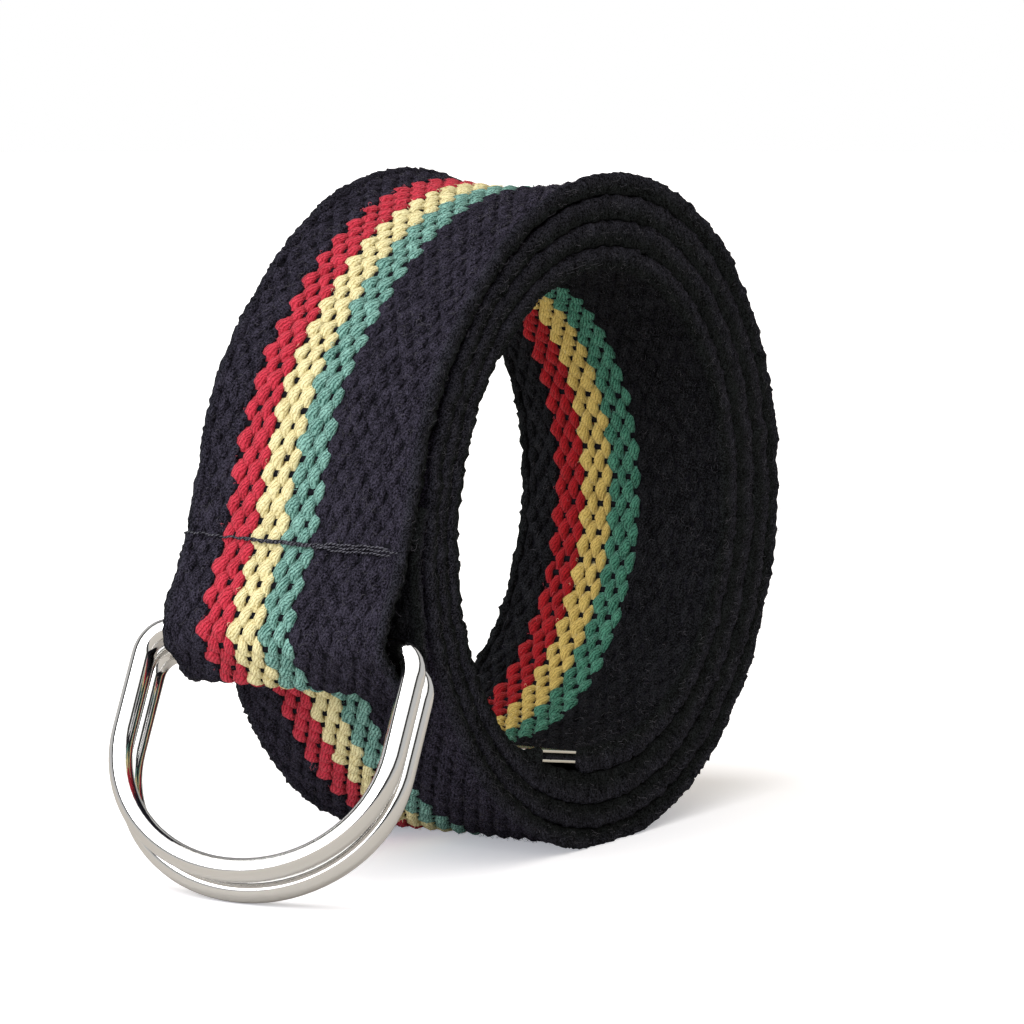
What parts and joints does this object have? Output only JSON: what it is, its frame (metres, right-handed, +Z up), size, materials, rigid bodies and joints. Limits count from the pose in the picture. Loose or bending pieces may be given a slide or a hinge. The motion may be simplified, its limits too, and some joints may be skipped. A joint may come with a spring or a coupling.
{
  "type": "rolled webbing belt with double d-ring buckle",
  "caption": "Striped woven cotton belt, rolled up and standing on its rolled edge, with steel D-rings folded into one end and a metal clip on the other.",
  "frame": {"origin": "on the floor, in the middle of the flat patch that the roll stands on, half way across the webbing", "axes": "+Z up; Y along the roll's axis, across the webbing, with the striped edge at +Y; the buckle end hangs at -X"},
  "size_m": [0.1258, 0.0503, 0.1006],
  "materials": {
    "webbing": "chunky cotton weave, charcoal with red, straw yellow and green stripes",
    "clip_metal": "plain pressed sheet, lightly polished",
    "ring_steel": "polished bent wire"
  },
  "bodies": {
    "strap": {"strap_webbing": "webbing", "end_clip": "clip_metal"},
    "front_ring": {"d_ring_front": "ring_steel"},
    "back_ring": {"d_ring_back": "ring_steel"}
  },
  "joints": [
    {"name": "front_ring_swing", "type": "hinge", "parent": "strap", "child": "front_ring", "pos_m": [-0.0577, 0, 0.03605], "axis": [0, 1, 0], "range_deg": [0, 150]},
    {"name": "back_ring_swing", "type": "hinge", "parent": "strap", "child": "back_ring", "pos_m": [-0.0546, 0, 0.0326], "axis": [0, 1, 0], "range_deg": [-60, 0]}
  ]
}
